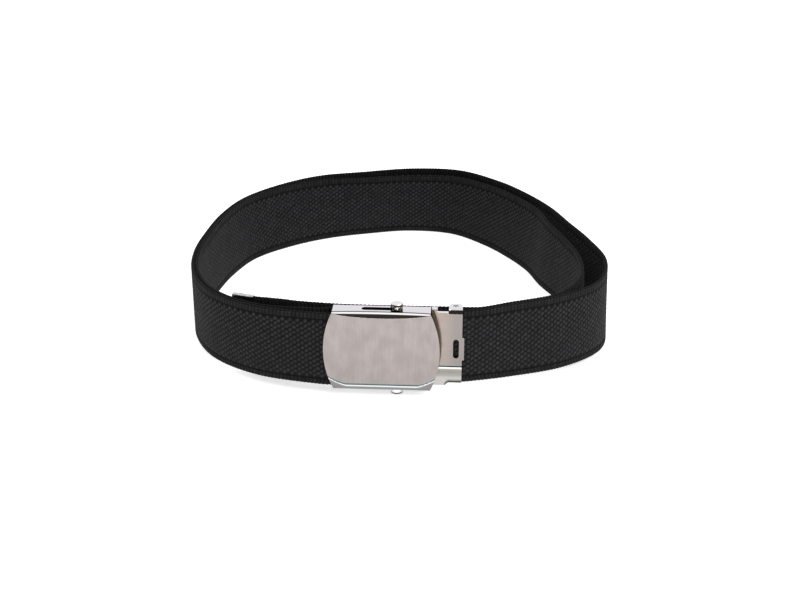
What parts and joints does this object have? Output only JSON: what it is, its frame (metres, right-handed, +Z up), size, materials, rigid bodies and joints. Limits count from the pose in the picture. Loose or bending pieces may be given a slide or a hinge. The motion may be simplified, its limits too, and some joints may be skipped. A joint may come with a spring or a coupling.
{
  "type": "canvas web belt",
  "caption": "Woven web belt, fastened and wound in two turns on edge, with a box-frame buckle with locking roller, clamp lever and metal tip.",
  "frame": {"origin": "middle of the belt's box, on the surface that it stands on", "axes": "+Z up along the web's width, the buckle's face towards -Y, +X to the right of someone who looks at the face"},
  "size_m": [0.2218, 0.2392, 0.0484],
  "materials": {
    "web": "black woven cotton webbing, matt",
    "brushed_face": "plated, fine upright brushing on the face and polished folds",
    "plated_frame": "smooth satin plating",
    "lever_steel": "plain plated steel",
    "roller_chrome": "polished",
    "tip_nickel": "polished nickel"
  },
  "bodies": {
    "root": {"web_strap": "web", "buckle_face": "brushed_face", "clamp_frame": "plated_frame", "clamp_lever": "lever_steel", "locking_roller": "roller_chrome", "strap_tip": "tip_nickel"}
  },
  "joints": []
}
